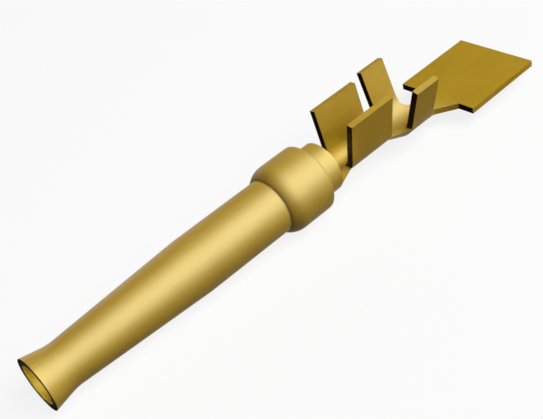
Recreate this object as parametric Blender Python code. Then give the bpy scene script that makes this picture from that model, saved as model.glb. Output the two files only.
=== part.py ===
"""Crimp socket contact for a D-sub connector, stamped and rolled from one strip of brass.

From front to back along the contact's axis: a bell mouth, a tapered socket barrel, a collar that
locks the contact in its cavity, a short neck ring, an open trough with two pairs of crimp wings,
and the flat carrier tab with its narrow link. The wall is one sheet thickness all the way.
Sizes are in millimetres. The contact is drawn along X with its axis at y = z = 0, and then laid
down as it comes to rest on a table.
"""
import math

import bmesh
import bpy
from mathutils import Matrix, Vector

MM = 0.001

# Sheet
SHEET = 0.200

# Bell mouth and socket barrel
MOUTH_RADIUS = 0.774
MOUTH_BORE_RADIUS = 0.540
WAIST_X = 0.730
WAIST_RADIUS = 0.628
WAIST_ROUND = 1.350
TAPER_END_X = 4.920
BARREL_RADIUS = 0.829

# Locking collar and neck ring
COLLAR_X = 7.781
COLLAR_RADIUS = 1.046
COLLAR_SHOULDER_ROUND = 0.637
COLLAR_REAR_X = 9.292
COLLAR_REAR_ROUND = 0.070
RING_RADIUS = 0.783
RING_REAR_X = 9.873

# Trough: the open channel behind the ring, with its side walls cut off level between the wings
WALL_TOP_Z = -0.270

# Front wings, which grip the bare wire
WIRE_WING_X = 10.503
WIRE_WING_LENGTH = 1.709
WIRE_WING_RISE = 1.310
WIRE_WING_LEAN = 10.0
WIRE_TROUGH_RADIUS = 0.408
WIRE_TROUGH_FLOOR_Z = -0.340

# Rear wings, which grip the insulation
INSULATION_WING_X = 12.845
INSULATION_WING_LENGTH = 0.959
INSULATION_WING_RISE = 1.277
INSULATION_WING_LEAN = 16.1
INSULATION_TROUGH_RADIUS = 0.664

# Carrier tab and the link that joins it to the trough
TAB_X = 14.931
TAB_LENGTH = 3.030
TAB_WIDTH = 2.780
TAB_TOP_Z = -0.565
LINK_ROUND = 0.351
LINK_FLARE = 36.0
LINK_TAB_WIDTH = 1.702
LINK_FLAT_LENGTH = 0.520

# Facets
LOWER_FACETS = 28
UPPER_FACETS = 44
FOLD_FACETS = 4
ARC_FACET_DEG = 7.0
LINK_STEPS = 12
LINK_FIRST_DEG = 18.0
CREASE_DEG = 30.0

# Finish
GOLD = (0.62, 0.42, 0.09, 1.0)


def clear_scene():
    for item in list(bpy.data.objects):
        bpy.data.objects.remove(item, do_unlink=True)


def gold_material():
    material = bpy.data.materials.new("gold_plate")
    material.use_nodes = True
    shader = material.node_tree.nodes["Principled BSDF"]
    shader.inputs["Base Color"].default_value = GOLD
    shader.inputs["Metallic"].default_value = 1.0
    shader.inputs["Roughness"].default_value = 0.32
    return material


def arc(centre, radius, start_deg, end_deg):
    """Points of an arc in a profile plane, both ends included."""
    steps = max(2, math.ceil(abs(end_deg - start_deg) / ARC_FACET_DEG))
    angles = [math.radians(start_deg + (end_deg - start_deg) * i / steps) for i in range(steps + 1)]
    return [(centre[0] + radius * math.cos(a), centre[1] + radius * math.sin(a)) for a in angles]


def waist_arc(mouth, waist, barrel, radius):
    """The arc that rounds the corner between the bell's slope and the barrel's taper."""
    to_mouth = (Vector(mouth) - Vector(waist)).normalized()
    to_barrel = (Vector(barrel) - Vector(waist)).normalized()
    half = to_mouth.angle(to_barrel) / 2
    centre = Vector(waist) + (to_mouth + to_barrel).normalized() * radius / math.sin(half)
    start = Vector(waist) + to_mouth * radius / math.tan(half) - centre
    end = Vector(waist) + to_barrel * radius / math.tan(half) - centre
    start_deg, end_deg = (math.degrees(math.atan2(tip.y, tip.x)) for tip in (start, end))
    return arc(centre, radius, start_deg, end_deg)


def shoulder():
    """The collar's front rounding: its centre, and the lift of its start above the centre line."""
    centre_radius = COLLAR_RADIUS - COLLAR_SHOULDER_ROUND
    lift = math.asin((BARREL_RADIUS - centre_radius) / COLLAR_SHOULDER_ROUND)
    centre_x = COLLAR_X + COLLAR_SHOULDER_ROUND * math.cos(lift)
    return (centre_x, centre_radius), math.degrees(lift)


def outer_profile():
    """Outside of the round front part as (x, radius), from mouth to ring end."""
    mouth = (0.0, MOUTH_RADIUS)
    waist = (WAIST_X, WAIST_RADIUS)
    taper_end = (TAPER_END_X, BARREL_RADIUS)
    centre, lift = shoulder()
    rear = (COLLAR_REAR_X - COLLAR_REAR_ROUND, COLLAR_RADIUS - COLLAR_REAR_ROUND)
    return (
        [mouth]
        + waist_arc(mouth, waist, taper_end, WAIST_ROUND)
        + [taper_end]
        + arc(centre, COLLAR_SHOULDER_ROUND, 180 - lift, 90)
        + arc(rear, COLLAR_REAR_ROUND, 90, 0)
        + [(COLLAR_REAR_X, RING_RADIUS), (RING_REAR_X, RING_RADIUS)]
    )


def inner_profile():
    """Inside of the same wall, one sheet thickness in, from ring end to mouth."""
    mouth = (0.0, MOUTH_BORE_RADIUS)
    waist = (WAIST_X, WAIST_RADIUS - SHEET)
    taper_end = (TAPER_END_X, BARREL_RADIUS - SHEET)
    centre, lift = shoulder()
    forward = (
        [mouth]
        + waist_arc(mouth, waist, taper_end, WAIST_ROUND + SHEET)
        + [taper_end]
        + arc((COLLAR_X, BARREL_RADIUS), SHEET, -90, -lift)
        + arc(centre, COLLAR_SHOULDER_ROUND - SHEET, 180 - lift, 90)[1:]
        + [(COLLAR_REAR_X - SHEET, COLLAR_RADIUS - SHEET)]
        + [(COLLAR_REAR_X - SHEET, RING_RADIUS - SHEET), (RING_REAR_X, RING_RADIUS - SHEET)]
    )
    return forward[::-1]


class Trough:
    """Cross-section of the open channel: a round floor of given inner radius, with level-cut walls."""

    def __init__(self, radius, floor_z, lean_deg=0.0, rise=0.0):
        self.radius = radius
        self.centre_z = floor_z + radius
        self.fold = math.radians(90.0 - lean_deg)
        self.rise = rise

    def point(self, radius, angle):
        """A point of the round floor; the angle counts from straight down towards +Y."""
        return (radius * math.sin(angle), self.centre_z - radius * math.cos(angle))

    def wall_top(self, radius):
        """Angle at which the round floor reaches the level where the low walls are cut off."""
        return math.acos((self.centre_z - WALL_TOP_Z) / radius)

    def low_angles(self, radius):
        top = self.wall_top(radius)
        return [top * (2.0 * i / LOWER_FACETS - 1.0) for i in range(LOWER_FACETS + 1)]

    def fold_angles(self, radius):
        top = self.wall_top(radius)
        return [top + (self.fold - top) * i / FOLD_FACETS for i in range(1, FOLD_FACETS + 1)]

    def tip(self, radius):
        y, z = self.point(radius, self.fold)
        return (y + self.rise * math.cos(self.fold), z + self.rise * math.sin(self.fold))


RING = Trough(RING_RADIUS - SHEET, SHEET - RING_RADIUS)
WIRE = Trough(WIRE_TROUGH_RADIUS, WIRE_TROUGH_FLOOR_Z, WIRE_WING_LEAN, WIRE_WING_RISE)
INSULATION = Trough(INSULATION_TROUGH_RADIUS, TAB_TOP_Z, INSULATION_WING_LEAN, INSULATION_WING_RISE)


def add_row(bm, x, points):
    return [bm.verts.new((x * MM, y * MM, z * MM)) for y, z in points]


def skin(bm, row_a, row_b, closed=False):
    """Quads between two rows of as many points."""
    count = len(row_a)
    for i in range(count if closed else count - 1):
        j = (i + 1) % count
        bm.faces.new((row_a[i], row_a[j], row_b[j], row_b[i]))


def round_row(bm, x, radius, angles):
    return add_row(bm, x, [(radius * math.sin(a), -radius * math.cos(a)) for a in angles])


def ring_angles(radius):
    """Angles round the tube: the low part that runs on into the trough first, then the rest."""
    low = RING.low_angles(radius)
    top = low[-1]
    step = (2.0 * math.pi - 2.0 * top) / UPPER_FACETS
    return low + [top + step * i for i in range(1, UPPER_FACETS)]


def build_tube(bm):
    """The round front part. Returns the low part of its rear edge, as an outer and an inner row."""
    outside = [round_row(bm, x, r, ring_angles(RING_RADIUS)) for x, r in outer_profile()]
    inside = [round_row(bm, x, r, ring_angles(RING_RADIUS - SHEET)) for x, r in inner_profile()]
    for rows in (outside, inside):
        for row_a, row_b in zip(rows, rows[1:]):
            skin(bm, row_a, row_b, closed=True)
    skin(bm, inside[-1], outside[0], closed=True)
    rear = (outside[-1], inside[0])
    upper = [row[LOWER_FACETS:] + row[:1] for row in rear]
    skin(bm, upper[0], upper[1])
    return [row[: LOWER_FACETS + 1] for row in rear]


class Station:
    """The wall's points at one place along a trough: its low part and, on each side, its wing."""

    def __init__(self, bm, trough, x):
        self.low = []
        self.wings = [[], []]
        for radius in (trough.radius + SHEET, trough.radius):
            low = [trough.point(radius, a) for a in trough.low_angles(radius)]
            side = [trough.point(radius, a) for a in trough.fold_angles(radius)] + [trough.tip(radius)]
            row = add_row(bm, x, low)
            self.low.append(row)
            self.wings[0].append([row[0]] + add_row(bm, x, [(-y, z) for y, z in side]))
            self.wings[1].append([row[-1]] + add_row(bm, x, side))

    def cap(self, bm, side, first=0):
        """The cut end of a wing, from its point number first up to its tip."""
        outer, inner = self.wings[side]
        bm.faces.new(outer[first:] + inner[first:][::-1])

    def folded(self):
        """Outer and inner rows from fold to fold, without the wings' flat walls."""
        rows = []
        for layer in (0, 1):
            near = self.wings[0][layer][1:-1][::-1]
            far = self.wings[1][layer][1:-1]
            rows.append(near + self.low[layer] + far)
        return rows


def low_span(bm, rows_a, rows_b):
    """A stretch of trough with low walls, whose top edges are flat."""
    for row_a, row_b in zip(rows_a, rows_b):
        skin(bm, row_a, row_b)
    for end in (0, -1):
        bm.faces.new((rows_a[0][end], rows_b[0][end], rows_b[1][end], rows_a[1][end]))


def wing_span(bm, front, rear):
    """A stretch of trough with a pair of wings."""
    for layer in (0, 1):
        skin(bm, front.low[layer], rear.low[layer])
    for side in (0, 1):
        for layer in (0, 1):
            skin(bm, front.wings[side][layer], rear.wings[side][layer])
        tips = [station.wings[side][layer][-1] for station in (front, rear) for layer in (0, 1)]
        bm.faces.new((tips[0], tips[1], tips[3], tips[2]))


def link_outline(wing_rear_x):
    """Half the link's width on the flat strip, as (x, half width), from the wings to the tab."""
    flare = math.radians(LINK_FLARE)
    centre_x = wing_rear_x + LINK_ROUND
    flare_y = LINK_TAB_WIDTH / 2 - math.tan(flare) * (TAB_X - centre_x)
    centre_y = flare_y + LINK_ROUND / math.cos(flare)
    first = math.radians(LINK_FIRST_DEG)
    last = math.pi / 2 + flare
    outline = []
    for i in range(LINK_STEPS):
        turn = first + (last - first) * i / (LINK_STEPS - 1)
        outline.append((centre_x - LINK_ROUND * math.cos(turn), centre_y - LINK_ROUND * math.sin(turn)))
    return outline + [(TAB_X, LINK_TAB_WIDTH / 2)]


def strip_point(distance, bend, depth):
    """A point of the strip's section at a distance from its middle; bend is 1 / inner radius."""
    angle = distance * bend
    if bend < 1e-9:
        return (distance, TAB_TOP_Z - depth)
    radius = 1.0 / bend
    return ((radius + depth) * math.sin(angle), TAB_TOP_Z + radius - (radius + depth) * math.cos(angle))


def build_link(bm, station, wing_rear_x):
    """The link that flattens out behind the rear wings. Returns its rows at the tab."""
    rows = station.folded()
    shares = []
    for radius in (INSULATION.radius + SHEET, INSULATION.radius):
        angles = INSULATION.low_angles(radius)
        folds = INSULATION.fold_angles(radius)
        angles = [-a for a in folds[::-1]] + angles + folds
        shares.append([a / INSULATION.fold for a in angles])
    for x, half_width in link_outline(wing_rear_x):
        flat = min(1.0, (x - wing_rear_x) / LINK_FLAT_LENGTH)
        flat = flat * flat * (3.0 - 2.0 * flat)
        bend = (1.0 - flat) / INSULATION.radius
        next_rows = []
        for layer, depth in ((0, SHEET), (1, 0.0)):
            points = [strip_point(share * half_width, bend, depth) for share in shares[layer]]
            next_rows.append(add_row(bm, x, points))
        low_span(bm, rows, next_rows)
        rows = next_rows
    return rows


def build_tab(bm, link_rows):
    """The flat carrier tab, wider than the link that it carries."""
    half = TAB_WIDTH / 2
    faces = []
    corners = []
    for row, z in zip(link_rows, (TAB_TOP_Z - SHEET, TAB_TOP_Z)):
        front = add_row(bm, TAB_X, [(-half, z), (half, z)])
        rear = add_row(bm, TAB_X + TAB_LENGTH, [(-half, z), (half, z)])
        faces.append([front[0]] + row + [front[1], rear[1], rear[0]])
        corners.append(((row[0], front[0], rear[0]), (row[-1], front[1], rear[1])))
    bm.faces.new(faces[0])
    bm.faces.new(faces[1])
    for side in (0, 1):
        low, high = corners[0][side], corners[1][side]
        for i in range(2):
            bm.faces.new((low[i], low[i + 1], high[i + 1], high[i]))
    bm.faces.new((corners[0][0][2], corners[0][1][2], corners[1][1][2], corners[1][0][2]))


def build_contact():
    bm = bmesh.new()
    ring = build_tube(bm)
    wire_front = Station(bm, WIRE, WIRE_WING_X)
    wire_rear = Station(bm, WIRE, WIRE_WING_X + WIRE_WING_LENGTH)
    insulation_front = Station(bm, INSULATION, INSULATION_WING_X)
    wing_rear_x = INSULATION_WING_X + INSULATION_WING_LENGTH
    insulation_rear = Station(bm, INSULATION, wing_rear_x)
    low_span(bm, ring, wire_front.low)
    wing_span(bm, wire_front, wire_rear)
    low_span(bm, wire_rear.low, insulation_front.low)
    wing_span(bm, insulation_front, insulation_rear)
    for station in (wire_front, wire_rear, insulation_front):
        for side in (0, 1):
            station.cap(bm, side)
    for side in (0, 1):
        insulation_rear.cap(bm, side, first=FOLD_FACETS)
    build_tab(bm, build_link(bm, insulation_rear, wing_rear_x))
    bmesh.ops.recalc_face_normals(bm, faces=bm.faces)
    return bm


def centre_of_mass(bm):
    volume = 0.0
    moment = Vector()
    for loops in bm.calc_loop_triangles():
        a, b, c = (loop.vert.co for loop in loops)
        part = a.dot(b.cross(c)) / 6.0
        volume += part
        moment += part * (a + b + c) / 4.0
    return moment / volume


def lower_hull(points):
    """The under side of the convex outline of points (x, z), from front to back."""
    hull = []
    for x, z in sorted(points):
        while len(hull) > 1:
            (ax, az), (bx, bz) = hull[-2:]
            if (bx - ax) * (z - az) - (bz - az) * (x - ax) > 0:
                break
            hull.pop()
        hull.append((x, z))
    return hull


def resting_turn(bm):
    """Turn about Y that lays the contact down on the two places under its centre of mass."""
    centre = centre_of_mass(bm)
    hull = lower_hull({(vert.co.x, vert.co.z) for vert in bm.verts})
    for (ax, az), (bx, bz) in zip(hull, hull[1:]):
        dx, dz = bx - ax, bz - az
        along = ((centre.x - ax) * dx + (centre.z - az) * dz) / (dx * dx + dz * dz)
        if along <= 1.0:
            return Matrix.Rotation(math.atan2(dz, dx), 4, "Y")
    return Matrix.Identity(4)


def resting_place(bm):
    """Placing that rests the contact on z = 0, wings up, with its footprint centred on the origin."""
    turn = resting_turn(bm)
    turned = [turn @ vert.co for vert in bm.verts]
    low = Vector([min(co[i] for co in turned) for i in range(3)])
    high = Vector([max(co[i] for co in turned) for i in range(3)])
    shift = -(low + high) / 2
    shift.z = -low.z
    return Matrix.Translation(shift) @ turn


def main():
    clear_scene()
    bm = build_contact()
    mesh = bpy.data.meshes.new("socket_contact")
    bm.to_mesh(mesh)
    mesh.materials.append(gold_material())
    mesh.shade_smooth()
    mesh.set_sharp_from_angle(angle=math.radians(CREASE_DEG))
    contact = bpy.data.objects.new("socket_contact", mesh)
    contact.matrix_world = resting_place(bm)
    bm.free()
    bpy.context.scene.collection.objects.link(contact)


main()
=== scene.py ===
"""Gold-plated crimp socket contact for a D-sub connector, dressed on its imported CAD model.

The contact is made as its press tool makes it. A flat blank is drawn with its wings, link and
carrier tab, given its sheet thickness and rolled up row by row into the open trough. The round
front, with its bell mouth, tapered barrel, collar and neck ring, is turned from its profile. The
two are one piece of sheet, so they are joined, their cut edges are broken, and the whole is laid
down as it comes to rest. It is shaped in millimetres along X, with its axis at y = z = 0.
"""
import logging
import math
from dataclasses import dataclass, field
from enum import Enum
from typing import Callable

import bmesh
import bpy
from mathutils import Matrix, Vector


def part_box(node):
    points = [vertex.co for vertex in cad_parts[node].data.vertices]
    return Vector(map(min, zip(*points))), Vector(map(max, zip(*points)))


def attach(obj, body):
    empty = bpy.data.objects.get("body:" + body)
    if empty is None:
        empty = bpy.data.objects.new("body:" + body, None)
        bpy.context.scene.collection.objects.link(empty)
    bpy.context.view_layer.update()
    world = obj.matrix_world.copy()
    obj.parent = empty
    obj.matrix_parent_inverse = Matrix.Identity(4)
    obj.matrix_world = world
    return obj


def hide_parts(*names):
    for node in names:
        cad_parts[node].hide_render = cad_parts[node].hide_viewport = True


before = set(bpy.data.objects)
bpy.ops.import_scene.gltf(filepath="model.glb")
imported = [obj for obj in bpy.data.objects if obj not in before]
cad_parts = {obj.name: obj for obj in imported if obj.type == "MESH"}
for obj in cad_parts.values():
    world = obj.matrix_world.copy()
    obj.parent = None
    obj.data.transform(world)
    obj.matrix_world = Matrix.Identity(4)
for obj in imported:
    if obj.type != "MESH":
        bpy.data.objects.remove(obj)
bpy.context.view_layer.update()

LOG = logging.getLogger("contact")
MM = 0.001  # metres in a millimetre
NEAR = 1e-4  # millimetres within which two places count as one
WELD = 1e-3  # millimetres within which doubled points are merged
FLAT_BEND = 1e-3  # bend, as 1 / radius, up to which a row is left flat
NOISE_MEAN = 0.5
WHITE = (1.0, 1.0, 1.0, 1.0)
Point = tuple[float, float]
Span = tuple[float, float]
Triple = tuple[float, float, float]
Colour = tuple[float, float, float, float]


# Modelling bench

class Element(Enum):
    """What a selection is made of."""

    VERTEX = "VERT"
    EDGE = "EDGE"
    FACE = "FACE"


class Side(Enum):
    """The two sides of the contact, by the sign of y."""

    RIGHT = -1
    LEFT = 1


class Bench:
    """One mesh on the modelling bench, shaped in edit mode with operators."""

    def __init__(self, piece: bpy.types.Object) -> None:
        """Put a mesh object on the bench, in edit mode.

        Args:
            piece: The mesh object to shape.
        """
        Bench.clear()
        self.piece = piece
        piece.select_set(True)
        bpy.context.view_layer.objects.active = piece
        bpy.ops.object.mode_set(mode="EDIT")

    @classmethod
    def start(cls, name: str, place: Vector) -> "Bench":
        """Put a single vertex on the bench.

        Args:
            name: Name of the new piece.
            place: Place of the vertex, in millimetres.

        Returns:
            The bench, with the vertex selected.
        """
        Bench.clear()
        bpy.ops.mesh.primitive_plane_add(size=1.0)
        piece = bpy.context.active_object
        piece.name = name
        bench = cls(piece)
        bpy.ops.mesh.select_mode(type="VERT")
        bpy.ops.mesh.select_all(action="SELECT")
        bpy.ops.mesh.merge(type="CENTER")
        bpy.ops.transform.translate(value=place)
        return bench

    @staticmethod
    def clear() -> None:
        """Leave edit mode and deselect every object, so that operators act on nothing old."""
        if bpy.context.mode != "OBJECT":
            bpy.ops.object.mode_set(mode="OBJECT")
        bpy.ops.object.select_all(action="DESELECT")

    def pick(self, test: Callable[[Vector], bool], kind: Element = Element.VERTEX) -> None:
        """Select just the elements whose every corner passes a test of its place.

        Args:
            test: Says whether a corner's place belongs to the selection.
            kind: Vertices, edges or faces.
        """
        bpy.ops.mesh.select_mode(type=kind.value)
        bpy.ops.mesh.select_all(action="DESELECT")
        mesh = bmesh.from_edit_mesh(self.piece.data)
        group = {
            Element.VERTEX: mesh.verts, Element.EDGE: mesh.edges, Element.FACE: mesh.faces,
        }[kind]
        for item in group:
            corners = [item] if kind is Element.VERTEX else item.verts
            item.select_set(all(test(corner.co) for corner in corners))
        mesh.select_flush_mode()
        bmesh.update_edit_mesh(self.piece.data)

    def pick_rim(self, test: Callable[[Vector], bool]) -> None:
        """Select the open boundary edges whose two ends pass a test.

        Args:
            test: Says whether an end's place belongs to the selection.
        """
        self.pick(test, Element.EDGE)
        mesh = bmesh.from_edit_mesh(self.piece.data)
        for edge in mesh.edges:
            if edge.select and not edge.is_boundary:
                edge.select_set(False)
        mesh.select_flush_mode()
        bmesh.update_edit_mesh(self.piece.data)

    @staticmethod
    def pull(x: float = 0.0, y: float = 0.0, z: float = 0.0) -> None:
        """Extrude the selection by a step along each axis."""
        bpy.ops.mesh.extrude_region_move(TRANSFORM_OT_translate={"value": (x, y, z)})

    @staticmethod
    def slide(x: float = 0.0, y: float = 0.0, z: float = 0.0) -> None:
        """Move the selection by a step along each axis."""
        bpy.ops.transform.translate(value=(x, y, z))

    @staticmethod
    def widen(factor: float, centre_y: float = 0.0) -> None:
        """Scale the selection across the contact, about a line at centre_y."""
        bpy.ops.transform.resize(value=(1.0, factor, 1.0), center_override=(0.0, centre_y, 0.0))

    def leave(self) -> bpy.types.Object:
        """Take the piece off the bench.

        Returns:
            The finished mesh object.
        """
        bpy.ops.object.mode_set(mode="OBJECT")
        return self.piece


# Round front part

def arc(
    centre: Point, radius: float, start_deg: float, end_deg: float, step_deg: float = 5.0
) -> list[Point]:
    """Points of an arc in a profile plane, both ends included.

    Args:
        centre: Centre of the arc as (x, height).
        radius: Radius of the arc.
        start_deg: Angle of the first point.
        end_deg: Angle of the last point.
        step_deg: Widest angle between two points.

    Returns:
        The points in order.
    """
    steps = max(2, math.ceil(abs(end_deg - start_deg) / step_deg))
    turns = [math.radians(start_deg + (end_deg - start_deg) * i / steps) for i in range(steps + 1)]
    return [(centre[0] + radius * math.cos(a), centre[1] + radius * math.sin(a)) for a in turns]


@dataclass
class SocketFront:
    """The turned front: bell mouth, tapered barrel, locking collar and neck ring.

    Places and sizes are in millimetres. A radius is the outside one, unless its name says bore.
    """

    sheet: float = 0.200
    mouth_radius: float = 0.774
    mouth_bore_radius: float = 0.540
    lead_in: float = 0.030
    waist_x: float = 0.730
    waist_radius: float = 0.628
    waist_round: float = 1.350
    taper_end_x: float = 4.920
    barrel_radius: float = 0.829
    collar_x: float = 7.781
    collar_radius: float = 1.046
    collar_round: float = 0.637
    collar_rear_x: float = 9.292
    collar_rear_round: float = 0.070
    ring_radius: float = 0.783
    ring_rear_x: float = 9.873
    wall_top_z: float = -0.270
    low_steps: int = 40
    upper_steps: int = 80
    waist_step_deg: float = 1.6
    corner_step_deg: float = 15.0

    def waist(self, inset: float) -> list[Point]:
        """The rounded corner between the bell's slope and the barrel's taper.

        Args:
            inset: 0 on the outside of the wall, the sheet thickness on its inside.

        Returns:
            The points of the rounding, from the mouth's side.
        """
        mouth = Vector((0.0, self.mouth_bore_radius if inset else self.mouth_radius))
        corner = Vector((self.waist_x, self.waist_radius - inset))
        taper = Vector((self.taper_end_x, self.barrel_radius - inset))
        to_mouth, to_taper = (mouth - corner).normalized(), (taper - corner).normalized()
        half = to_mouth.angle(to_taper) / 2
        radius = self.waist_round + inset
        centre = corner + (to_mouth + to_taper).normalized() * radius / math.sin(half)
        ends = [corner + way * radius / math.tan(half) - centre for way in (to_mouth, to_taper)]
        start, end = (math.degrees(math.atan2(tip.y, tip.x)) for tip in ends)
        return arc(tuple(centre), radius, start, end, self.waist_step_deg)

    def shoulder(self) -> tuple[Point, float]:
        """The collar's front rounding, on the outside of the wall.

        Returns:
            Its centre, and the angle in degrees at which it leaves the barrel.
        """
        height = self.collar_radius - self.collar_round
        lift = math.asin((self.barrel_radius - height) / self.collar_round)
        return (self.collar_x + self.collar_round * math.cos(lift), height), math.degrees(lift)

    def outside(self) -> list[Point]:
        """The mouth's rim and the outside of the wall.

        Returns:
            The points as (x, radius), from the mouth to the ring's end.
        """
        centre, lift = self.shoulder()
        rear_round = self.collar_rear_round
        rear = (self.collar_rear_x - rear_round, self.collar_radius - rear_round)
        return (
            [(0.0, self.mouth_bore_radius + self.lead_in), (0.0, self.mouth_radius)]
            + self.waist(0.0) + [(self.taper_end_x, self.barrel_radius)]
            + arc(centre, self.collar_round, 180 - lift, 90)
            + arc(rear, rear_round, 90, 0, self.corner_step_deg)
            + [(self.collar_rear_x, self.ring_radius), (self.ring_rear_x, self.ring_radius)]
        )

    def inside(self) -> list[Point]:
        """The inside of the wall, one sheet thickness in from the outside.

        Returns:
            The points as (x, radius), from the mouth to the ring's end.
        """
        centre, lift = self.shoulder()
        sheet = self.sheet
        step_x = self.collar_rear_x - sheet
        return (
            [(self.lead_in, self.mouth_bore_radius)] + self.waist(sheet)
            + [(self.taper_end_x, self.barrel_radius - sheet)]
            + arc((self.collar_x, self.barrel_radius), sheet, -90, -lift, self.corner_step_deg)
            + arc(centre, self.collar_round - sheet, 180 - lift, 90)[1:]
            + [(step_x, self.collar_radius - sheet), (step_x, self.ring_radius - sheet)]
            + [(self.ring_rear_x, self.ring_radius - sheet)]
        )

    def open_angle(self, radius: float) -> float:
        """Angle from straight down at which the ring's end reaches the trough's cut height."""
        return math.acos(-self.wall_top_z / radius)

    def turn(self, name: str, profile: list[Point]) -> bpy.types.Object:
        """Draw one side of the wall as a chain and spin it round the axis.

        Args:
            name: Name of the mesh.
            profile: The chain as (x, radius).

        Returns:
            The closed skin. Its rows match the trough's up to the cut height.
        """
        low = self.open_angle(profile[-1][1])
        chain = [Vector((x, r * math.sin(low), -r * math.cos(low))) for x, r in profile]
        bench = Bench.start(name, chain[0])
        for before, after in zip(chain, chain[1:]):
            bench.pull(*(after - before))
        bpy.ops.mesh.select_all(action="SELECT")
        for steps, angle in ((self.low_steps, 2 * low), (self.upper_steps, 2 * math.pi - 2 * low)):
            bpy.ops.mesh.spin(steps=steps, angle=angle, center=(0, 0, 0), axis=(1, 0, 0))
        bpy.ops.mesh.select_all(action="SELECT")
        bpy.ops.mesh.remove_doubles(threshold=WELD)
        return bench.leave()

    def build(self) -> bpy.types.Object:
        """Make both skins, and join them at the mouth's lead-in and the ring's end.

        Returns:
            The round front, open only where the trough runs on from it.
        """
        skins = [self.turn("front", self.outside()), self.turn("bore", self.inside())]
        Bench.clear()
        for skin in skins:
            skin.select_set(True)
        bpy.context.view_layer.objects.active = skins[0]
        bpy.ops.object.join()
        bench = Bench(skins[0])
        bench.pick_rim(lambda co: co.x < self.lead_in + NEAR)
        bpy.ops.mesh.bridge_edge_loops()
        top = self.wall_top_z - NEAR
        bench.pick_rim(lambda co: co.x > self.ring_rear_x - NEAR and co.z > top)
        bpy.ops.mesh.bridge_edge_loops()
        return bench.leave()


# Trough, wings, link and tab

@dataclass
class Section:
    """Cross-section of the trough at a place x: a round floor and how its walls end.

    The radius and the height floor_z are the floor's inner ones. It turns up by fold_deg to a
    wing's fold line, and the wing rises straight from there by wing_rise.
    """

    x: float
    radius: float
    floor_z: float
    fold_deg: float = 90.0
    wing_rise: float = 0.0

    def low_angle(self, radius: float, top_z: float) -> float:
        """Angle from straight down at which a wall of this radius reaches the cut height."""
        return math.acos((self.floor_z + self.radius - top_z) / radius)

    @property
    def fold(self) -> float:
        """Distance along the flat blank from the middle to the fold line of a wing."""
        return self.radius * math.radians(self.fold_deg)


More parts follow.
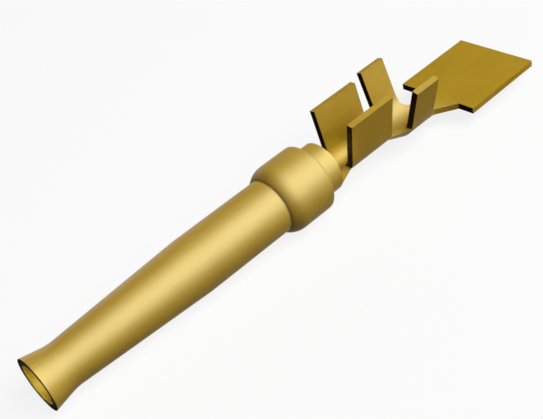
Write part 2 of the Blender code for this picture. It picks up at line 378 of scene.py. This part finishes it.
@dataclass
class Blank:
    """The flat blank behind the ring, which is rolled up into the trough."""

    front: SocketFront = field(default_factory=SocketFront)
    wire_x: float = 10.503
    wire_length: float = 1.709
    wire_radius: float = 0.408
    wire_floor_z: float = -0.340
    wire_rise: float = 1.310
    wire_lean: float = 10.0
    insulation_x: float = 12.845
    insulation_length: float = 0.959
    insulation_radius: float = 0.664
    insulation_rise: float = 1.277
    insulation_lean: float = 16.1
    tab_x: float = 14.931
    tab_length: float = 3.030
    tab_width: float = 2.780
    tab_z: float = -0.565
    link_round: float = 0.351
    link_flare_deg: float = 36.0
    link_width: float = 1.702
    link_flat_length: float = 0.520
    link_steps: int = 20
    link_first_deg: float = 18.0
    fold_steps: int = 8

    def sections(self) -> list[Section]:
        """The rolled rows of the trough.

        Returns:
            The ring's end, then the start and end of the wire wings and of the rear wings.
        """
        sheet = self.front.sheet
        ring = self.front.ring_radius
        wire = (self.wire_radius, self.wire_floor_z, 90 - self.wire_lean, self.wire_rise)
        rear = (
            self.insulation_radius, self.tab_z, 90 - self.insulation_lean, self.insulation_rise,
        )
        return [
            Section(self.front.ring_rear_x, ring - sheet, sheet - ring),
            Section(self.wire_x, *wire),
            Section(self.wire_x + self.wire_length, *wire),
            Section(self.insulation_x, *rear),
            Section(self.insulation_x + self.insulation_length, *rear),
        ]

    def half_floor(self, row: Section) -> float:
        """Half the width of a row's floor on the blank, to where its outer face meets the cut."""
        return row.radius * row.low_angle(row.radius + self.front.sheet, self.front.wall_top_z)

    def link_rows(self, start_x: float) -> list[Point]:
        """The link's outline on the flat blank as (x, half width), from the wings to the tab.

        Args:
            start_x: Where the rear wings end.

        Returns:
            The rows: round the relief cut, then along the flare.
        """
        flare = math.radians(self.link_flare_deg)
        centre_x = start_x + self.link_round
        flare_y = self.link_width / 2 - math.tan(flare) * (self.tab_x - centre_x)
        centre_y = flare_y + self.link_round / math.cos(flare)
        first, last = math.radians(self.link_first_deg), math.pi / 2 + flare
        rows = []
        for i in range(self.link_steps):
            turn = first + (last - first) * i / (self.link_steps - 1)
            rows.append((centre_x - self.link_round * math.cos(turn),
                         centre_y - self.link_round * math.sin(turn)))
        return rows + [(self.tab_x, self.link_width / 2)]

    def draw(self, bench: Bench) -> list[Point]:
        """Draw the flat blank on z = 0, with its wings spread, and give it its thickness.

        Args:
            bench: Holds the single vertex that the blank starts from.

        Returns:
            The link's rows as (x, half width).
        """
        rows = self.sections()
        self.draw_floor(bench, rows)
        winged = rows[1:]
        for start, end in (winged[:2], winged[2:]):
            self.spread_wings(bench, start, end)
        link = self.draw_link(bench, rows[-1])
        bpy.ops.mesh.select_all(action="SELECT")
        bench.pull(z=-self.front.sheet)
        bpy.ops.mesh.select_all(action="SELECT")
        bpy.ops.mesh.normals_make_consistent(inside=False)
        return link

    def draw_floor(self, bench: Bench, rows: list[Section]) -> None:
        """Draw the strip that becomes the trough's floor, row by row.

        Args:
            bench: Holds the single vertex that the blank starts from.
            rows: The rolled rows.
        """
        half = [self.half_floor(row) for row in rows]
        bench.pull(y=2 * half[0])
        bpy.ops.mesh.select_all(action="SELECT")
        bpy.ops.mesh.subdivide(number_cuts=self.front.low_steps - 1)
        for i in range(1, len(rows)):
            bench.pull(x=rows[i].x - rows[i - 1].x)
            bench.widen(half[i] / half[i - 1])

    def spread_wings(self, bench: Bench, start: Section, end: Section) -> None:
        """Draw a pair of wings out to both sides of the strip.

        Args:
            bench: Holds the strip.
            start: The row at which the wings start.
            end: The row at which they end.
        """
        low = self.half_floor(start)
        step = (start.fold - low) / self.fold_steps
        for side in Side:
            bench.pick_rim(
                lambda co: start.x - NEAR < co.x < end.x + NEAR and co.y * side.value > low - NEAR
            )
            for _ in range(self.fold_steps):
                bench.pull(y=side.value * step)
            bench.pull(y=side.value * start.wing_rise)

    def draw_link(self, bench: Bench, rear: Section) -> list[Point]:
        """Draw the link, round its relief cuts, and the carrier tab.

        Args:
            bench: Holds the strip with its wings.
            rear: The last of the rolled rows.

        Returns:
            The link's rows as (x, half width).
        """
        bench.pick_rim(lambda co: co.x > rear.x - NEAR and abs(co.y) < rear.fold + NEAR)
        x, width = rear.x, rear.fold
        link = self.link_rows(rear.x)
        for next_x, next_width in link:
            bench.pull(x=next_x - x)
            bench.widen(next_width / width)
            x, width = next_x, next_width
        bench.pull(x=self.tab_length)
        for side in Side:
            bench.pick_rim(
                lambda co: co.x > self.tab_x - NEAR and co.y * side.value > width - NEAR
            )
            bench.pull(y=side.value * (self.tab_width / 2 - width))
        return link

    @staticmethod
    def roll(bench: Bench, x: float, radius: float, floor_z: float, fold: float) -> None:
        """Roll one row of the blank up to its fold lines, the rest staying straight.

        Args:
            bench: Holds the blank.
            x: Place of the row.
            radius: Inner radius of the rolled floor.
            floor_z: Height of the floor's inner face.
            fold: Distance of the fold lines from the middle of the blank.
        """
        bench.pick(lambda co: abs(co.x - x) < NEAR)
        bench.slide(z=floor_z)
        across = Matrix(((0, 1, 0, 0), (0, 0, 1, 0), (1, 0, 0, 0), (0, 0, 0, 1)))
        bpy.ops.transform.vertex_warp(
            warp_angle=-2 * fold / radius, min=-fold, max=fold, viewmat=across,
            center=(x, 0.0, floor_z + radius),
        )

    def level(self, bench: Bench, row: Section) -> None:
        """Narrow the inner face of a flat row, so that its low walls come out level when rolled.

        Args:
            bench: Holds the blank.
            row: The row to narrow.
        """
        outer = self.half_floor(row)
        inner = row.radius * row.low_angle(row.radius, self.front.wall_top_z)
        bench.pick(
            lambda co: abs(co.x - row.x) < NEAR and co.z > -NEAR and abs(co.y) < outer + NEAR
        )
        bench.widen(inner / outer)
        if not row.wing_rise:
            return
        share = (row.fold - inner) / (row.fold - outer)
        for side in Side:
            bench.pick(
                lambda co: abs(co.x - row.x) < NEAR and co.z > -NEAR
                and outer + NEAR < co.y * side.value < row.fold - NEAR
            )
            bench.widen(share, side.value * row.fold)

    def build(self) -> bpy.types.Object:
        """Draw the blank and roll it up.

        Returns:
            The trough with its wings, link and tab, open where it meets the ring.
        """
        rows = self.sections()
        ring = rows[0]
        bench = Bench.start("trough", Vector((ring.x, -self.half_floor(ring), 0.0)))
        link = self.draw(bench)
        bench.pick(lambda co: co.x < ring.x + NEAR, Element.FACE)
        bpy.ops.mesh.delete(type="FACE")
        for row in rows:
            self.level(bench, row)
            self.roll(bench, row.x, row.radius, row.floor_z, row.fold)
        for x, _ in link[:-1]:
            flat = min(1.0, (x - rows[-1].x) / self.link_flat_length)
            bend = (1.0 - flat * flat * (3.0 - 2.0 * flat)) / self.insulation_radius
            if bend > FLAT_BEND:
                self.roll(bench, x, 1.0 / bend, self.tab_z, rows[-1].fold)
            else:
                bench.pick(lambda co: abs(co.x - x) < NEAR)
                bench.slide(z=self.tab_z)
        bench.pick(lambda co: co.x > self.tab_x - NEAR)
        bench.slide(z=self.tab_z)
        return bench.leave()


# Whole contact

class Zone(Enum):
    """The zones of the contact's surface, each a material slot."""

    PLATED = 0
    CUT = 1
    EDGE = 2


@dataclass(frozen=True)
class Lay:
    """How the contact lies: its tilt about y, then its move in metres."""

    tilt_deg: float
    move: Vector

    def back(self) -> dict:
        """The way back from where the contact lies to its own millimetres.

        Returns:
            The settings of a Mapping node that does it.
        """
        turn = Matrix.Rotation(math.radians(self.tilt_deg), 3, "Y")
        return {
            "Location": turn @ self.move / -MM,
            "Rotation": (0.0, math.radians(self.tilt_deg), 0.0),
            "Scale": (1 / MM, 1 / MM, 1 / MM),
        }


@dataclass
class SocketContact:
    """The whole stamped contact, which stands for the CAD model's one node."""

    node: str = "socket_contact"
    slot: str = "gold_plate"
    front: SocketFront = field(default_factory=SocketFront)
    sheared_normal: float = 0.97
    edge_break: float = 0.014
    edge_segments: int = 2
    edge_angle_deg: float = 35.0
    rest_tilt_deg: float = 1.886
    lay: Lay = field(init=False)

    def join(self) -> bpy.types.Object:
        """Make the front and the trough one sheet.

        Returns:
            The closed contact, still along its own axis and in millimetres.
        """
        front = self.front.build()
        LOG.info("round front: %d faces", len(front.data.polygons))
        trough = Blank(self.front).build()
        LOG.info("rolled blank: %d faces", len(trough.data.polygons))
        Bench.clear()
        trough.select_set(True)
        front.select_set(True)
        bpy.context.view_layer.objects.active = front
        bpy.ops.object.join()
        bpy.ops.object.mode_set(mode="EDIT")
        bpy.ops.mesh.select_all(action="SELECT")
        bpy.ops.mesh.remove_doubles(threshold=WELD)
        bpy.ops.mesh.normals_make_consistent(inside=False)
        bpy.ops.object.mode_set(mode="OBJECT")
        return front

    def mark_cuts(self, contact: bpy.types.Object) -> None:
        """Tell the faces that are sheared across the strip from the plated ones.

        Args:
            contact: The closed contact.
        """
        for zone in Zone:
            contact.data.materials.append(bpy.data.materials.new(zone.name.lower()))
        collar_x = self.front.collar_rear_x
        collar_back = (collar_x, collar_x - self.front.sheet)
        for face in contact.data.polygons:
            across = abs(face.normal.x) > self.sheared_normal
            rolled = min(abs(face.center.x - x) for x in collar_back) <= NEAR
            zone = Zone.CUT if across and not rolled else Zone.PLATED
            face.material_index = zone.value

    def break_edges(self, contact: bpy.types.Object) -> None:
        """Round the stamped edges and smooth the shading.

        Args:
            contact: The closed contact.
        """
        bevel = contact.modifiers.new("edge_break", "BEVEL")
        bevel.width = self.edge_break
        bevel.segments = self.edge_segments
        bevel.limit_method = "ANGLE"
        bevel.angle_limit = math.radians(self.edge_angle_deg)
        bevel.material = Zone.EDGE.value
        normals = contact.modifiers.new("flat_faces", "WEIGHTED_NORMAL")
        normals.keep_sharp = True
        bpy.ops.object.shade_smooth()
        for name in ("edge_break", "flat_faces"):
            bpy.ops.object.modifier_apply(modifier=name)

    def lay_down(self, contact: bpy.types.Object) -> None:
        """Scale the contact to metres and lay it where the CAD node lies.

        Args:
            contact: The finished contact.
        """
        tilt = Matrix.Rotation(math.radians(-self.rest_tilt_deg), 4, "Y")
        contact.matrix_world = tilt @ Matrix.Scale(MM, 4)
        bpy.ops.object.transform_apply(location=True, rotation=True, scale=True)
        low, high = (Vector(corner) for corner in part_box(self.node))
        places = [vertex.co for vertex in contact.data.vertices]
        mine = [Vector([pick(co[i] for co in places) for i in range(3)]) for pick in (min, max)]
        move = (low + high - mine[0] - mine[1]) / 2
        move.z = low.z - mine[0].z
        contact.location = move
        bpy.ops.object.transform_apply(location=True, rotation=True, scale=True)
        self.lay = Lay(self.rest_tilt_deg, move)

    def build(self) -> bpy.types.Object:
        """Make, finish and place the contact, and hang it on the frame.

        Returns:
            The piece that is shown.
        """
        contact = self.join()
        contact.name = "stamped_contact"
        self.mark_cuts(contact)
        self.break_edges(contact)
        self.lay_down(contact)
        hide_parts(self.node)
        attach(contact, "root")
        LOG.info("%s: %d faces", contact.name, len(contact.data.polygons))
        return contact

    def dress(self, contact: bpy.types.Object) -> None:
        """Build every finish in its zone's material.

        Args:
            contact: The finished contact, whose faces have their zones.
        """
        for finish in FINISHES:
            finish.make(contact.data.materials[finish.zone.value], self.lay)
            LOG.info("finish: %s", finish.zone.name.lower())


# Finishes

class Value:
    """A number on its way through a node tree, whose operators add Math nodes."""

    def __init__(self, graph: "Graph", socket: bpy.types.NodeSocket) -> None:
        """Wrap an output socket of a graph."""
        self.graph = graph
        self.socket = socket

    def math(self, operation: str, *others: "Value | float") -> "Value":
        """Add a Math node fed by this value and others, and return its result."""
        inputs = dict(enumerate((self, *others)))
        return self.graph.node("ShaderNodeMath", {"operation": operation}, inputs)

    def __add__(self, other: "Value | float") -> "Value":
        """Sum."""
        return self.math("ADD", other)

    __radd__ = __add__

    def __mul__(self, other: "Value | float") -> "Value":
        """Product."""
        return self.math("MULTIPLY", other)

    __rmul__ = __mul__

    def __sub__(self, other: "Value | float") -> "Value":
        """Difference."""
        return self.math("SUBTRACT", other)

    def __rsub__(self, other: float) -> "Value":
        """Difference from a number."""
        return self * -1.0 + other


class Graph:
    """The nodes of one material or world."""

    def __init__(self, owner: bpy.types.Material | bpy.types.World) -> None:
        """Clear the nodes of a material or world.

        Args:
            owner: The material or world.
        """
        owner.use_nodes = True
        self.tree = owner.node_tree
        self.tree.nodes.clear()

    def node(self, kind: str, settings: dict, inputs: dict, output: int | str | None = 0) -> Value:
        """Add a node.

        Args:
            kind: The node's type.
            settings: Its properties, which are set first.
            inputs: A number, colour or Value for each socket, by name or place.
            output: The output that is wanted, by name or place, or None where it has none.

        Returns:
            That output.
        """
        node = self.tree.nodes.new(kind)
        for name, setting in settings.items():
            setattr(node, name, setting)
        for name, value in inputs.items():
            if isinstance(value, Value):
                self.tree.links.new(value.socket, node.inputs[name])
            else:
                node.inputs[name].default_value = value
        return Value(self, None if output is None else node.outputs[output])

    def seen(self) -> Value:
        """What is seen directly, in a reflection or through glass.

        Returns:
            1 there, and 0 where light only falls on a surface.
        """
        ways = ("Camera", "Glossy", "Transmission")
        rays = [self.node("ShaderNodeLightPath", {}, {}, f"Is {way} Ray") for way in ways]
        return rays[0].math("MAXIMUM", rays[1]).math("MAXIMUM", rays[2])

    def coordinates(self, kind: str = "Object") -> Value:
        """Texture coordinates of a kind."""
        return self.node("ShaderNodeTexCoord", {}, {}, kind)

    def place(self, lay: Lay) -> Value:
        """Place on the contact in its own millimetres, with x from the mouth along the axis."""
        return self.node("ShaderNodeMapping", {}, {"Vector": self.coordinates(), **lay.back()})

    def noise(self, place: Value, cells: Triple, detail: float = 2.0) -> Value:
        """Soft noise on the contact.

        Args:
            place: Place on the contact, in millimetres.
            cells: Cells per millimetre along each axis.
            detail: How many finer layers the noise has.

        Returns:
            A number from 0 to 1.
        """
        spread = self.node("ShaderNodeVectorMath", {"operation": "MULTIPLY"}, {0: place, 1: cells})
        inputs = {"Vector": spread, "Scale": 1.0, "Detail": detail}
        return self.node("ShaderNodeTexNoise", {}, inputs)

    def band(self, x: Value, centre: float, reach: float) -> Value:
        """1 at a place along the contact, falling to 0 at a reach on either side."""
        return self.ramp((x - centre).math("ABSOLUTE"), 0.0, reach, 1.0, 0.0)

    def bump(self, height: Value) -> Value:
        """Normals of a surface whose height is given in millimetres."""
        inputs = {"Strength": 1.0, "Distance": MM, "Height": height}
        return self.node("ShaderNodeBump", {}, inputs)

    def split(self, vector: Value) -> tuple[Value, Value, Value]:
        """The three numbers of a vector."""
        node = self.node("ShaderNodeSeparateXYZ", {}, {0: vector}).socket.node
        return tuple(Value(self, out) for out in node.outputs)

    def ramp(self, value: Value, start: float, end: float, first: float, last: float) -> Value:
        """Map a value smoothly from first, at start, to last, at end."""
        inputs = {0: value, 1: start, 2: end, 3: first, 4: last}
        return self.node("ShaderNodeMapRange", {"interpolation_type": "SMOOTHSTEP"}, inputs)

    def mix(self, share: Value | float, first: Value | tuple, second: Value | tuple) -> Value:
        """Mix two colours by a share from 0 to 1."""
        inputs = {"Factor": share, 6: first, 7: second}
        return self.node("ShaderNodeMix", {"data_type": "RGBA"}, inputs, 2)

    def output(self, surface: Value, kind: str = "ShaderNodeOutputMaterial") -> None:
        """Link the finished shader to the output."""
        self.node(kind, {}, {"Surface": surface}, None)


@dataclass(frozen=True)
class Finish:
    """A metal finish. Its grain runs along the strip, as the sheet was rolled.

    The forming tools burnish it, most on the turned front and the trough's floor, less on the
    wings and least on the flat tab. Its colour changes softly to a deeper one. Painted shade
    darkens it in bands round concave corners, each given by its place along the contact and its
    reach. Places and depths are in millimetres, and grain, mottle and pits in cells per
    millimetre.
    """

    zone: Zone
    colour: Colour
    deep: Colour
    metallic: float = 0.03
    roughness: float = 0.56
    specular: float = 0.01
    burnished: bool = True
    burnish_roughness: float = 0.55
    burnish_ior: float = 1.2
    wing_burnish: float = 0.45
    tab_burnish: float = 0.2
    front_end: Span = (9.9, 10.4)
    floor_end: Span = (-0.30, 0.20)
    tab_start: Span = (14.3, 15.2)
    mottle: Triple = (0.7, 1.3, 1.3)
    mottle_detail: float = 3.0
    grain: Triple = (0.8, 16.0, 16.0)
    grain_detail: float = 4.0
    grain_depth: float = 0.0016
    pits: Triple = (34.0, 34.0, 34.0)
    pit_depth: float = 0.0006
    uneven: float = 0.10
    grain_tone: float = 0.6
    tone_reach: float = 0.25
    # Painted shade: bands of darker colour round concave corners, as (place, reach) pairs.
    painted_crease_shade: tuple[Span, ...] = ()
    crease_shade_tone: float = 0.5

    def rubbed(self, graph: Graph, x: Value, z: Value) -> Value:
        """How far the forming tools have burnished the metal, from 0 to 1.

        Args:
            graph: The material's nodes.
            x: Place along the contact.
            z: Height over the contact's axis.

        Returns:
            Full on the round front and the trough's floor, less on the wings and the tab.
        """
        front = graph.ramp(x, *self.front_end, 1.0, 0.0)
        trough = graph.ramp(z, *self.floor_end, 1.0, self.wing_burnish)
        tab = graph.ramp(x, *self.tab_start, 1.0, self.tab_burnish)
        return front.math("MAXIMUM", trough) * tab

    def make(self, material: bpy.types.Material, lay: Lay) -> None:
        """Build the finish in a material.

        Args:
            material: The material of the finish's zone.
            lay: How the contact lies.
        """
        graph = Graph(material)
        place = graph.place(lay)
        mottle = graph.noise(place, self.mottle, self.mottle_detail) - NOISE_MEAN
        grain = graph.noise(place, self.grain, self.grain_detail) - NOISE_MEAN
        pits = graph.noise(place, self.pits)
        tone = mottle + grain * self.grain_tone
        share = graph.ramp(tone, -self.tone_reach, self.tone_reach, 0.0, 1.0)
        colour = graph.mix(share, self.deep, self.colour)
        # Colour of the painted shade: a fraction of the deep tone.
        dark = tuple(self.crease_shade_tone * part for part in self.deep[:3]) + (1.0,)
        x, _, z = graph.split(place)
        # Painted shade: each band darkens the colour round a concave corner.
        for crease_x, reach in self.painted_crease_shade:
            colour = graph.mix(graph.band(x, crease_x, reach), colour, dark)
        surface = graph.node("ShaderNodeBsdfPrincipled", {}, {
            "Base Color": colour,
            "Metallic": self.metallic,
            "Roughness": (grain + mottle) * self.uneven + self.roughness,
            "Specular IOR Level": self.specular,
            "Coat Weight": self.rubbed(graph, x, z) if self.burnished else 0.0,
            "Coat Roughness": self.burnish_roughness,
            "Coat IOR": self.burnish_ior,
            "Normal": graph.bump(grain * self.grain_depth + pits * self.pit_depth),
        })
        graph.output(surface)


FINISHES = (
    Finish(
        Zone.PLATED, colour=(0.360, 0.211, 0.007, 1.0), deep=(0.332, 0.190, 0.005, 1.0),
        # Painted shade round the collar's front and rear concave corners.
        painted_crease_shade=((7.79, 0.07), (9.30, 0.04)),
    ),
    # Sheared faces are bare metal, darker than the plating; their near-black colour is painted
    # shade beyond that.
    Finish(
        Zone.CUT, colour=(0.085, 0.052, 0.020, 1.0), deep=(0.045, 0.028, 0.011, 1.0),
        metallic=0.0, roughness=0.80, specular=0.0, burnished=False, grain=(1.0, 14.0, 14.0),
        grain_depth=0.0020,
    ),
    Finish(
        Zone.EDGE, colour=(0.40, 0.255, 0.020, 1.0), deep=(0.35, 0.21, 0.010, 1.0), roughness=0.45,
    ),
)


# Studio

@dataclass(frozen=True)
class Viewpoint:
    """The photograph's camera: the point it looks at and how it stands round it, in degrees."""

    aim: Triple = (-0.0014185, -0.0003491, 0.0012403)
    distance: float = 0.0252468
    azimuth: float = -35.4237
    elevation: float = 37.1609
    roll: float = -12.7618
    lens: float = 61.993
    sensor: float = 36.0
    clip: Span = (1e-4, 2.0)

    def place(self) -> None:
        """Create the camera and make it the scene's."""
        data = bpy.data.cameras.new("view")
        data.sensor_width = self.sensor
        data.lens = self.lens
        data.clip_start, data.clip_end = self.clip
        camera = bpy.data.objects.new("view", data)
        bpy.context.scene.collection.objects.link(camera)
        turn = (
            Matrix.Rotation(math.radians(self.azimuth), 4, "Z")
            @ Matrix.Rotation(math.radians(90 - self.elevation), 4, "X")
            @ Matrix.Rotation(math.radians(self.roll), 4, "Z")
        )
        back = turn.to_3x3() @ Vector((0, 0, self.distance))
        camera.matrix_world = Matrix.Translation(Vector(self.aim) + back) @ turn
        bpy.context.scene.camera = camera


@dataclass(frozen=True)
class SoftBox:
    """A round lamp, placed by the angles at which it stands round the point it is aimed at.

    Its level is 1 where it lights a white surface squarely to white. One with a narrow spread is
    a beam, which gathers the same light and needs far less. One for sheen only shows in gloss.
    """

    name: str
    azimuth: float
    elevation: float
    level: float
    size: float
    distance: float = 0.12
    tint: Triple = (1.0, 1.0, 1.0)
    sheen_only: bool = False
    aim: Triple = (0.0, 0.0, 0.0)
    spread_deg: float = 180.0

    def place(self) -> None:
        """Hang the lamp, facing its aim."""
        data = bpy.data.lights.new(self.name, "AREA")
        data.shape = "DISK"
        data.size = self.size
        data.color = self.tint
        data.spread = math.radians(self.spread_deg)
        reach = self.distance ** 2 + self.size ** 2 / 4
        data.energy = self.level * math.pi ** 2 * reach
        lamp = bpy.data.objects.new(self.name, data)
        bpy.context.scene.collection.objects.link(lamp)
        lamp.visible_diffuse = not self.sheen_only
        turn = (
            Matrix.Rotation(math.radians(self.azimuth), 4, "Z")
            @ Matrix.Rotation(math.radians(90 - self.elevation), 4, "X")
        )
        place = Vector(self.aim) + turn.to_3x3() @ Vector((0, 0, self.distance))
        lamp.matrix_world = Matrix.Translation(place) @ turn


@dataclass(frozen=True)
class Studio:
    """Pale floor, pale surroundings and soft lamps.

    The backdrop fades between two elevations, in degrees, to the dim ceiling. floor_bounce is the
    floor's colour for the light that it throws back on the contact.
    """

    floor_size: float = 1.2
    floor_colour: Colour = (0.83, 0.83, 0.83, 1.0)
    floor_bounce: Colour = (0.03, 0.016, 0.006, 1.0)
    floor_glow: float = 0.84
    dim: float = 0.02
    backdrop_top: Span = (16.0, 34.0)
    lamps: tuple[SoftBox, ...] = (
        SoftBox("key", 24.0, 54.0, 1.10, 0.12),
        SoftBox("back", 170.0, 6.0, 0.20, 0.03),
        SoftBox("sheen", 26.0, 48.0, 12.2, 0.20, tint=(0.76, 1.0, 1.16), sheen_only=True),
        SoftBox("trough_beam", -40.0, 45.0, 0.0002, 0.0005, distance=0.03,
                tint=(0.92, 1.0, 1.15), aim=(0.00185, 0.00025, 0.00084), spread_deg=2.0),
        SoftBox("bore_beam", -57.0, 27.0, 0.0007, 0.0008, distance=0.03,
                tint=(0.9, 1.02, 1.5), aim=(-0.00897, 0.0, 0.00077), spread_deg=2.0),
    )

    def floor(self) -> None:
        """Lay the floor under the contact. It looks white and still takes a soft shadow."""
        Bench.clear()
        bpy.ops.mesh.primitive_plane_add(size=self.floor_size)
        floor = bpy.context.active_object
        floor.name = "floor"
        paper = bpy.data.materials.new("floor")
        paint = Graph(paper)
        white = paint.node("ShaderNodeEmission", {}, {"Color": WHITE, "Strength": 1.0})
        seen = paint.seen()
        colour = paint.mix(seen, self.floor_bounce, self.floor_colour)
        matte = paint.node("ShaderNodeBsdfDiffuse", {}, {"Color": colour})
        layers = {0: seen * self.floor_glow, 1: matte, 2: white}
        paint.output(paint.node("ShaderNodeMixShader", {}, layers))
        floor.data.materials.append(paper)

    def sky(self) -> None:
        """Surround the scene with a pale backdrop all round under a dark ceiling."""
        world = bpy.data.worlds.new("surround")
        bpy.context.scene.world = world
        sky = Graph(world)
        height = sky.split(sky.coordinates("Generated"))[2]
        low, high = (math.sin(math.radians(a)) for a in self.backdrop_top)
        pale = sky.ramp(height, low, high, 1.0, 0.0) * sky.seen()
        strength = pale * (1.0 - self.dim) + self.dim
        inputs = {"Color": WHITE, "Strength": strength}
        sky.output(sky.node("ShaderNodeBackground", {}, inputs), "ShaderNodeOutputWorld")

    def build(self) -> None:
        """Set up floor, surroundings and lamps."""
        self.floor()
        self.sky()
        for lamp in self.lamps:
            lamp.place()
        bpy.context.scene.view_settings.view_transform = "Standard"


def main() -> None:
    """Build the contact, dress the scene and hand it over."""
    logging.basicConfig(level=logging.INFO, format="%(name)s: %(message)s")
    maker = SocketContact()
    maker.dress(maker.build())
    Studio().build()
    Viewpoint().place()


if __name__ == "__main__":
    main()
